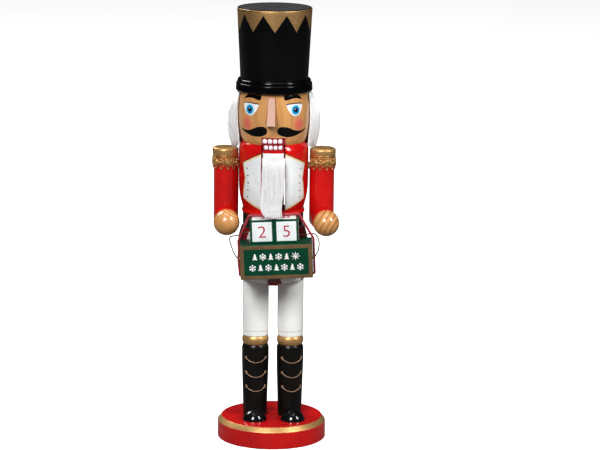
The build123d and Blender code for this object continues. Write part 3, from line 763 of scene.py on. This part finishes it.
# ---------------------------------------------------------------- mouth: gum, teeth and chin
def rounded_box(x, y, width, height, corner):
    points = []
    for cx, cy, start in ((1, -1, -90), (1, 1, 0), (-1, 1, 90), (-1, -1, 180)):
        for angle in range(start, start + 91, 18):
            a = math.radians(angle)
            middle_x, middle_y = x + cx * (width / 2 - corner), y + cy * (height / 2 - corner)
            points.append((middle_x + corner * math.cos(a), middle_y + corner * math.sin(a)))
    return points


def in_front_of(node):
    """Puts (x, height) on the front of a node, and gives the point and the direction out of it."""
    tree = caster(node)

    def place(x, height):
        point, normal, _, _ = tree.ray_cast(Vector((x, -100, height)) * MM, Vector((0, 1, 0)))
        if point is None:
            raise ValueError(f"{node} has no front at {x}, height {height}")
        return np.array(point) / MM, np.array(-normal if normal.y > 0 else normal)

    return place


on_upper = in_front_of("upper_teeth")
on_lever = in_front_of("jaw_lever")
rows = (
    ("upper", on_upper, 268.5, 3.9, 3.75, -0.8, 4.45, "figure"),
    ("lower", on_lever, 263.1, 3.7, 3.5, -0.2, 4.15, "jaw"),
)
for row, place, height, tall, wide, middle, pitch, body in rows:
    parts = []
    for k in range(4):
        tooth = rounded_box(middle + pitch * (k - 1.5), height, wide, tall, 1.3)
        parts.append(film(tooth, place, lift=0.5, edge=1.1, step=0.5))
    mesh_piece(f"{row}_teeth_enamel", *joined(parts), tooth_white, body, "white_paint")
gum = [(-9.0, 260.6), (9.0, 260.6), (9.0, 265.2), (-9.0, 265.2)]
painted("lower_gum", gum, on_lever, crimson, "jaw", "red_paint", lift=0.05)
shirt = [(-9.0, 221.5), (9.0, 221.5), (9.0, 258.2), (-9.0, 258.2)]
painted("lever_white_front", shirt, on_lever, vest_white, "jaw", "white_paint", lift=0.05, step=1.5)

# ---------------------------------------------------------------- calendar block, sign and number blocks
tilt = math.radians(2.6)
ACROSS, UP = np.array((math.cos(tilt), 0, math.sin(tilt))), np.array((-math.sin(tilt), 0, math.cos(tilt)))
block_low, block_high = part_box("calendar_block")
BLOCK_MIDDLE = np.array((block_low + block_high) / 2) / MM
BLOCK_SIZE = (62.2, 29.4)
FRONT_Y = block_low.y / MM


def on_sign(x, y):
    return BLOCK_MIDDLE * (1, 0, 1) + (0, FRONT_Y, 0) + ACROSS * x + UP * y, np.array((0.0, -1.0, 0.0))


border = rounded_box(0, 0, BLOCK_SIZE[0] - 0.3, BLOCK_SIZE[1] - 0.3, 0.8)
field = rounded_box(0, 0, BLOCK_SIZE[0] - 6.8, BLOCK_SIZE[1] - 6.4, 0.3)
painted("sign_border", border, on_sign, frame_bronze, "figure", "gold_paint", lift=0.06, step=3)
painted("sign_field", field, on_sign, panel_green, "figure", "green_paint", lift=0.10, step=3)


def snowflake(x, y, radius, arms, branches=True):
    """A star of thin lines, with a pair of short branches on each arm."""
    parts = []
    for k in range(arms):
        a = math.radians(90 + 360 * k / arms)
        tip = (x + radius * math.cos(a), y + radius * math.sin(a))
        strokes = [((x, y), tip)]
        if branches:
            fork = (x + 0.58 * radius * math.cos(a), y + 0.58 * radius * math.sin(a))
            for lean in (-50, 50):
                b = a + math.radians(lean)
                twig = 0.36 * radius
                strokes.append((fork, (fork[0] + twig * math.cos(b), fork[1] + twig * math.sin(b))))
        for start, end in strokes:
            path = [on_sign(*start)[0] - (0, 0.12, 0), on_sign(*end)[0] - (0, 0.12, 0)]
            parts.append(tube(path, 0.34, 6, flat=((0, 1, 0), 0.4)))
    return parts


def fir_tree(x, y, height):
    """Three tiers and a trunk."""
    half = height * 0.36
    outline = [(0.06, -0.5), (0.06, -0.36), (1, -0.36), (0.45, -0.08)]
    outline += [(0.78, -0.08), (0.34, 0.18), (0.56, 0.18), (0, 0.5)]
    outline = [(x + half * u, y + height * v) for u, v in outline]
    left = [(2 * x - u, v) for u, v in outline[:-1]][::-1]
    return film([*outline, *left], on_sign, lift=0.2, edge=0.25, step=0.8)


motif = []
for k, x in enumerate((-18.2, -11.4, -4.6, 2.2, 9.0)):
    motif += snowflake(x, 4.6, 3.1, 6) if k % 2 else [fir_tree(x, 4.6, 6.8)]
motif += snowflake(16.6, 4.6, 3.6, 8, branches=False)
for k, x in enumerate((-20.4, -13.6, -6.8, 0.0, 6.8, 13.6, 20.4)):
    motif += [fir_tree(x, -4.9, 6.8)] if k % 2 else snowflake(x, -4.9, 3.1, 6)
mesh_piece("sign_motif", *joined(motif), tooth_white, "figure", "white_paint")


def digit(character, centre, across, up, height, lift):
    """A number's outline as a thin raised film, as (points, faces)."""
    curve = bpy.data.curves.new("digit", "FONT")
    curve.body = character
    curve.align_x = "CENTER"
    curve.align_y = "CENTER"
    curve.size = height / 0.72 * MM
    curve.offset = -0.00007
    curve.extrude = lift * MM
    curve.resolution_u = 8
    carrier = bpy.data.objects.new("digit", curve)
    scene.collection.objects.link(carrier)
    bpy.context.view_layer.update()
    mesh = bpy.data.meshes.new_from_object(carrier.evaluated_get(bpy.context.evaluated_depsgraph_get()))
    normal = np.cross(across, up)
    flat = np.array([tuple(v.co / MM) for v in mesh.vertices])
    flat[:, :2] -= (flat[:, :2].max(0) + flat[:, :2].min(0)) / 2
    points = centre + flat[:, :1] * across * 1.06 + flat[:, 1:2] * up + flat[:, 2:] * normal
    faces = [tuple(p.vertices) for p in mesh.polygons]
    bpy.data.objects.remove(carrier)
    return points, faces


CUBE, PANEL = 20.5, 17.0
DEPTH = np.array((0.0, -1.0, 0.0))
for block, digits in (("tens_block", "21003"), ("units_block", "56478")):
    low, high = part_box(block)
    middle = np.array((low + high) / 2) / MM
    panels, numbers = [], []
    sides = ((ACROSS, UP), (DEPTH, UP), (-DEPTH, UP), (-ACROSS, UP), (ACROSS, -DEPTH))
    for (across, up), character in zip(sides, digits):
        outward = np.cross(across, up)
        centre = middle + outward * CUBE / 2
        face = flat_on(centre, across, up)
        panels.append(film(rounded_box(0, 0, PANEL, PANEL, 0.4), face, lift=0.07, step=3))
        numbers.append(digit(character, centre + outward * 0.08, across, up, 10.6, 0.05))
    mesh_piece(f"{block}_panels", *joined(panels), vest_white, block, "white_paint")
    mesh_piece(f"{block}_numbers", *joined(numbers), ink, block, "red_paint", smooth=False)

# ---------------------------------------------------------------- elastic band
BAND_RADIUS = 1.1
BAND_Y = -34.5
BEND = 1.4


def rounded_loop(corners, radius, step=0.35):
    """A closed loop of straight runs with an arc of that radius at each corner, as evenly spaced points."""
    corners = np.array(corners, float)
    points = []
    for before, corner, after in zip(np.roll(corners, 1, 0), corners, np.roll(corners, -1, 0)):
        into, out = corner - before, after - corner
        into, out = into / np.linalg.norm(into), out / np.linalg.norm(out)
        turn = math.atan2(into[0] * out[1] - into[1] * out[0], into @ out)
        reach = radius * math.tan(abs(turn) / 2)
        side = np.array((-into[1], into[0])) * math.copysign(1, turn)
        centre = corner - into * reach + side * radius
        for share in np.linspace(0, 1, 9):
            a = turn * share
            spin = np.array(((math.cos(a), -math.sin(a)), (math.sin(a), math.cos(a))))
            points.append(centre - spin @ side * radius)
    return dense(np.array(points), step)


half_width, half_height = BLOCK_SIZE[0] / 2 + BAND_RADIUS + 0.1, BLOCK_SIZE[1] / 2
pair_x, pair_half, pair_top = -0.9, 21.5, half_height + 0.05 + CUBE + 0.2 + BAND_RADIUS
loop = rounded_loop(
    [
        (-half_width, -half_height - BAND_RADIUS - 0.1),
        (half_width, -half_height - BAND_RADIUS - 0.1),
        (half_width, half_height + 0.3),
        (pair_x + pair_half, pair_top),
        (pair_x - pair_half, pair_top),
        (-half_width, half_height + 0.3),
    ],
    BEND,
)
band_path = [BLOCK_MIDDLE * (1, 0, 1) + (0, BAND_Y, 0) + ACROSS * x + UP * y for x, y in loop]
band = mesh_piece(
    "red_band_woven",
    *tube(band_path, BAND_RADIUS, sides=14, closed=True, lobes=5, pitch=2.2, depth=0.10),
    band_thread,
    "figure",
    "red_elastic",
)
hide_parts("red_band")

# ---------------------------------------------------------------- looped gold braid round the arm tops
BRAID_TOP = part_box("left_shoulder_braid")[1].z / MM
BRAID_RADIUS = 11.45
BRAID_SPAN = 306.0
BRAID_PITCH = 5.6
GIMP = {"sides": 6, "lobes": 2, "pitch": 1.2, "depth": 0.3}


def round_arm(axis_x, start, shape, rise=0.0):
    """Winds a line of (millimetres round, height) about an arm."""
    path = []
    for u, z in shape:
        a = math.radians(start) + u / BRAID_RADIUS
        path.append((axis_x + (BRAID_RADIUS + rise) * math.cos(a), (BRAID_RADIUS + rise) * math.sin(a), z))
    return path


for side, sign in (("left", -1), ("right", 1)):
    low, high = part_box(f"{side}_upper_arm")
    axis_x = (low.x + high.x) / 2 / MM
    start = 27.0 if sign < 0 else 207.0
    length = math.radians(BRAID_SPAN) * BRAID_RADIUS
    parts = []
    for level, thick in ((BRAID_TOP - 0.6, 0.55), (BRAID_TOP - 1.9, 0.45)):
        run = [(u, level) for u in np.linspace(0, length, 150)]
        parts.append(tube(round_arm(axis_x, start, run), thick, 8, lobes=3, pitch=2.0, depth=0.35))
    waves = round(length / BRAID_PITCH)
    u = np.linspace(0, length, waves * 14)
    for phase in (0, 0.5):
        turn = 2 * math.pi * (u / length * waves + phase)
        shape = np.stack([u, BRAID_TOP - 4.6 + 2.0 * np.sin(turn)], 1)
        parts.append(tube(round_arm(axis_x, start, shape, 0.25 * (1 + phase)), 0.38, **GIMP))
    loops = round(length / BRAID_PITCH)
    t = np.linspace(0, loops, loops * 26 + 1)
    for phase, top, bottom, swing, rise in ((0.0, 5.2, 12.1, 2.3, 0.2), (0.5, 3.6, 9.4, 1.9, 0.5)):
        middle, reach = (top + bottom) / 2, (bottom - top) / 2
        turn = 2 * math.pi * (t + phase)
        across = np.clip(t * length / loops - swing * np.sin(turn), 0, length)
        shape = np.stack([across, BRAID_TOP - middle - reach * np.cos(turn)], 1)
        parts.append(tube(round_arm(axis_x, start, shape, rise), 0.42, **GIMP))
    for k in range(1, loops // 2 + 1):
        s = np.linspace(0, 1, 46)
        spin = s * 2.6 * 2 * math.pi
        size = 0.3 + 2.3 * s
        middle = (2 * k - 1) * length / loops
        shape = np.stack([middle + size * np.cos(spin), BRAID_TOP - 6.4 + size * np.sin(spin)], 1)
        parts.append(tube(round_arm(axis_x, start, shape, 0.75), 0.36, **GIMP))
    gimp = mesh_piece(f"{side}_shoulder_gimp", *joined(parts), gold_thread, "figure", "gold_braid")
    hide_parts(f"{side}_shoulder_braid")


# ---------------------------------------------------------------- fur
def strands(paths, thick, taper=0.15):
    """Three-sided tapering hairs along paths, an array of hairs by points by three."""
    count, steps, _ = paths.shape
    ahead = np.gradient(paths, axis=1)
    ahead /= np.maximum(np.linalg.norm(ahead, axis=2, keepdims=True), 1e-9)
    side = np.cross(ahead, (0.23, 0.91, 0.34))
    side /= np.maximum(np.linalg.norm(side, axis=2, keepdims=True), 1e-9)
    other = np.cross(ahead, side)
    share = np.linspace(0, 1, steps)
    width = thick[:, None] * (1 - (1 - taper) * share[None, :] ** 1.5)
    corners = []
    for k in range(3):
        a = 2 * math.pi * k / 3
        corners.append(paths + width[:, :, None] * (side * math.cos(a) + other * math.sin(a)))
    points = np.stack(corners, 2).reshape(-1, 3)
    first = (np.arange(count)[:, None] * steps + np.arange(steps - 1)[None, :]).reshape(-1) * 3
    faces = []
    for k in range(3):
        m = (k + 1) % 3
        faces.append(np.stack([first + k, first + m, first + m + 3, first + k + 3], 1))
    ends = np.arange(count) * steps * 3
    tips = ends + (steps - 1) * 3
    caps = np.concatenate([np.stack([ends + 2, ends + 1, ends], 1), np.stack([tips, tips + 1, tips + 2], 1)])
    return points, [*np.concatenate(faces).tolist(), *caps.tolist()]


def closed_sheet(outer, inner):
    """Two grids of points with the same size, joined at their borders into one closed shell."""
    rows, columns, _ = outer.shape
    count = rows * columns
    points = np.concatenate([outer.reshape(-1, 3), inner.reshape(-1, 3)])
    index = np.arange(count).reshape(rows, columns)
    a, b, c, d = index[:-1, :-1], index[:-1, 1:], index[1:, 1:], index[1:, :-1]
    front = np.stack([a, b, c, d], -1).reshape(-1, 4)
    back = front[:, ::-1] + count
    border = [*index[0, :], *index[1:, -1], *index[-1, -2::-1], *index[-2:0:-1, 0]]
    walls = [(j, i, i + count, j + count) for i, j in zip(border, border[1:] + border[:1])]
    return points, [*front.tolist(), *back.tolist(), *walls]


def polar(azimuth, radius, height):
    a = np.radians(azimuth)
    return np.stack([radius * np.sin(a), -radius * np.cos(a), np.broadcast_to(height, a.shape)], -1)


HAIR_LEVELS = (257.0, 262.0, 270.0, 280.0, 289.0, 298.0, 304.0, 308.0)
HAIR_OUTER = (35.4, 37.2, 39.2, 40.4, 40.0, 38.0, 35.6, 33.4)
HAIR_INNER = (31.2, 29.8, 30.1, 31.2, 31.4, 31.1, 30.5, 30.1)
HAIR_FRONT = 78.0
HAIR_COUNT, BEARD_COUNT = 3800, 2500


def hair_radius(height, depth):
    """The radius at a height, from the head's side at depth 0 to the outside of the fur at depth 1."""
    inner = np.interp(height, HAIR_LEVELS, HAIR_INNER)
    return inner + depth * (np.interp(height, HAIR_LEVELS, HAIR_OUTER) - inner)


def hair_paths(rng, count, steps=9):
    azimuth = HAIR_FRONT + (360 - 2 * HAIR_FRONT) * rng.random(count)
    start = 307.3 - 22 * rng.random(count) ** 2.5
    end = 257.6 + 5.5 * rng.random(count) ** 1.6
    rim = np.clip(np.minimum(azimuth - HAIR_FRONT, 360 - HAIR_FRONT - azimuth) / 12, 0, 1) ** 0.6
    depth = (0.45 + 0.55 * rng.random(count) ** 0.5) * (0.25 + 0.75 * rim)
    t = np.linspace(0, 1, steps)[None, :]
    height = start[:, None] + (end - start)[:, None] * t
    lock = np.round(azimuth / 6.0) * 6.0
    sway = 0.5 * np.sin(3.0 * t + rng.random(count)[:, None] * 6)
    angle = azimuth[:, None] + 0.5 * (lock - azimuth)[:, None] * t**2 + sway
    puff = np.clip(0.5 + 1.6 * t, 0, 1)
    spread = hair_radius(height, depth[:, None] * puff) + 0.2 * rng.standard_normal(count)[:, None] * t
    return polar(angle, spread, height)


rng = np.random.default_rng(7)
azimuths = np.linspace(HAIR_FRONT + 1, 359 - HAIR_FRONT, 150)
levels = np.linspace(261.0, 307.4, 44)
grid_angle, grid_height = np.meshgrid(azimuths, levels)
waver = 0.9 * np.sin(grid_height * 0.11)
locks = 0.5 + 0.5 * np.sin(grid_angle * 1.05 + waver + 0.6 * np.sin(grid_angle * 0.31))
edge_fade = np.clip(np.minimum(grid_angle - azimuths[0], azimuths[-1] - grid_angle) / 13, 0, 1) ** 0.6
under_depth = (0.78 + 0.06 * locks) * (0.12 + 0.88 * edge_fade)
hair_body = closed_sheet(
    polar(grid_angle, hair_radius(grid_height, under_depth), grid_height),
    polar(grid_angle, hair_radius(grid_height, 0.04), grid_height),
)
hair_under = mesh_piece("hair_undercoat", *hair_body, fur_white, "figure", "white_fur")
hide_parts("hair")
hair_strands = strands(hair_paths(rng, HAIR_COUNT), 0.17 + 0.08 * rng.random(HAIR_COUNT))
mesh_piece("hair_fur", *hair_strands, fur_white, "figure", "white_fur")

BEARD_LINE = (
    (-31.4, 254.9), (-33.9, 248.5), (-34.7, 238.0), (-36.0, 226.0),
    (-38.9, 216.6), (-43.6, 210.2), (-52.8, 205.4),
)
BEARD_MIDDLE = (0.3, 0.4, 0.2, -0.4, -1.4, -1.2, 1.4)
BEARD_HALF = (8.6, 9.4, 9.6, 9.3, 9.1, 8.6, 7.2)
BEARD_THICK = (1.2, 2.6, 3.0, 2.8, 2.3, 1.7, 0.6)


def beard_point(t, x, depth):
    """A point of the beard: t runs down it, x across it and depth from its back at -1 to its front at 1."""
    along = np.linspace(0, 1, len(BEARD_LINE))
    y, z = (np.interp(t, along, [p[i] for p in BEARD_LINE]) for i in (0, 1))
    half, thick, middle = (np.interp(t, along, column) for column in (BEARD_HALF, BEARD_THICK, BEARD_MIDDLE))
    slope = np.interp(t, along, np.radians((18, 12, 4, 12, 26, 42, 50)))
    out = depth * thick
    return np.stack([middle + x * half, y - out * np.cos(slope), z + out * np.sin(slope) * 0.4], -1)


def beard_paths(rng, count, steps=13):
    x = rng.uniform(-1, 1, count)
    round_off = np.sqrt(1 - 0.85 * x**2)
    depth = (rng.random(count) ** 0.5 * 1.8 - 0.8) * round_off
    begin = 0.12 * rng.random(count) ** 2
    end = 1.0 - (0.02 + 0.10 * x**2) * rng.random(count) - 0.24 * rng.random(count) ** 2
    t = begin[:, None] + (end - begin)[:, None] * np.linspace(0, 1, steps)[None, :]
    lock = np.round(x * 4) / 4
    sway = 0.03 * np.sin(5 * t + 6 * rng.random(count)[:, None])
    across = x[:, None] + 0.4 * (lock - x)[:, None] * t**3 + sway
    lift = depth[:, None] + 0.06 * rng.standard_normal(count)[:, None] * t
    return beard_point(t, across, lift)


grid_t, grid_x = np.meshgrid(np.linspace(0, 0.84, 46), np.linspace(-0.95, 0.95, 40), indexing="ij")
bulge = np.sqrt(1 - 0.9 * grid_x**2)
locks = 0.09 * np.sin(grid_x * 13 + 1.2 * np.sin(grid_t * 4)) + 0.04 * np.sin(grid_x * 29 - 2 * grid_t)
beard_back = beard_point(grid_t, grid_x, -0.8 * bulge)
beard_body = closed_sheet(beard_back, beard_point(grid_t, grid_x, (0.80 + locks) * bulge))
beard_under = mesh_piece("beard_undercoat", *beard_body, beard_white_painted_shade, None, "white_fur")
beard_strands = strands(beard_paths(rng, BEARD_COUNT), 0.14 + 0.07 * rng.random(BEARD_COUNT))
beard_fur = mesh_piece("beard_fur", *beard_strands, beard_white_painted_shade, None, "white_fur")
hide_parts("beard")
for piece in (beard_under, beard_fur):
    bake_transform(piece)


# ---------------------------------------------------------------- floor and sizes
def make_floor(reach):
    """A pale floor that shows as white, and throws less light back at the object than it shows."""
    paint = Paint("floor_white")
    tone = paint.noise(300, detail=1)
    seen = paint.add("LightPath", {}).outputs["Is Camera Ray"]
    pale = paint.ramp(tone, (0.3, (0.86, 0.86, 0.86)), (0.7, (0.88, 0.88, 0.88)))
    paint.set(
        Base_Color=paint.mix(seen, (0.11, 0.11, 0.11), pale),
        Roughness=0.7,
        Specular_IOR_Level=0.1,
        Emission_Color=(1, 1, 1, 1),
        Emission_Strength=paint.between(seen, 0.0, 0.72),
    )
    mesh = bpy.data.meshes.new("floor")
    corners = [(-reach, -reach, 0), (reach, -reach, 0), (reach, reach, 0), (-reach, reach, 0)]
    mesh.from_pydata(corners, [], [(0, 1, 2, 3)])
    mesh.materials.append(paint.material)
    floor = bpy.data.objects.new("floor", mesh)
    scene.collection.objects.link(floor)
    floor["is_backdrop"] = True


make_floor(4.0)
low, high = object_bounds()
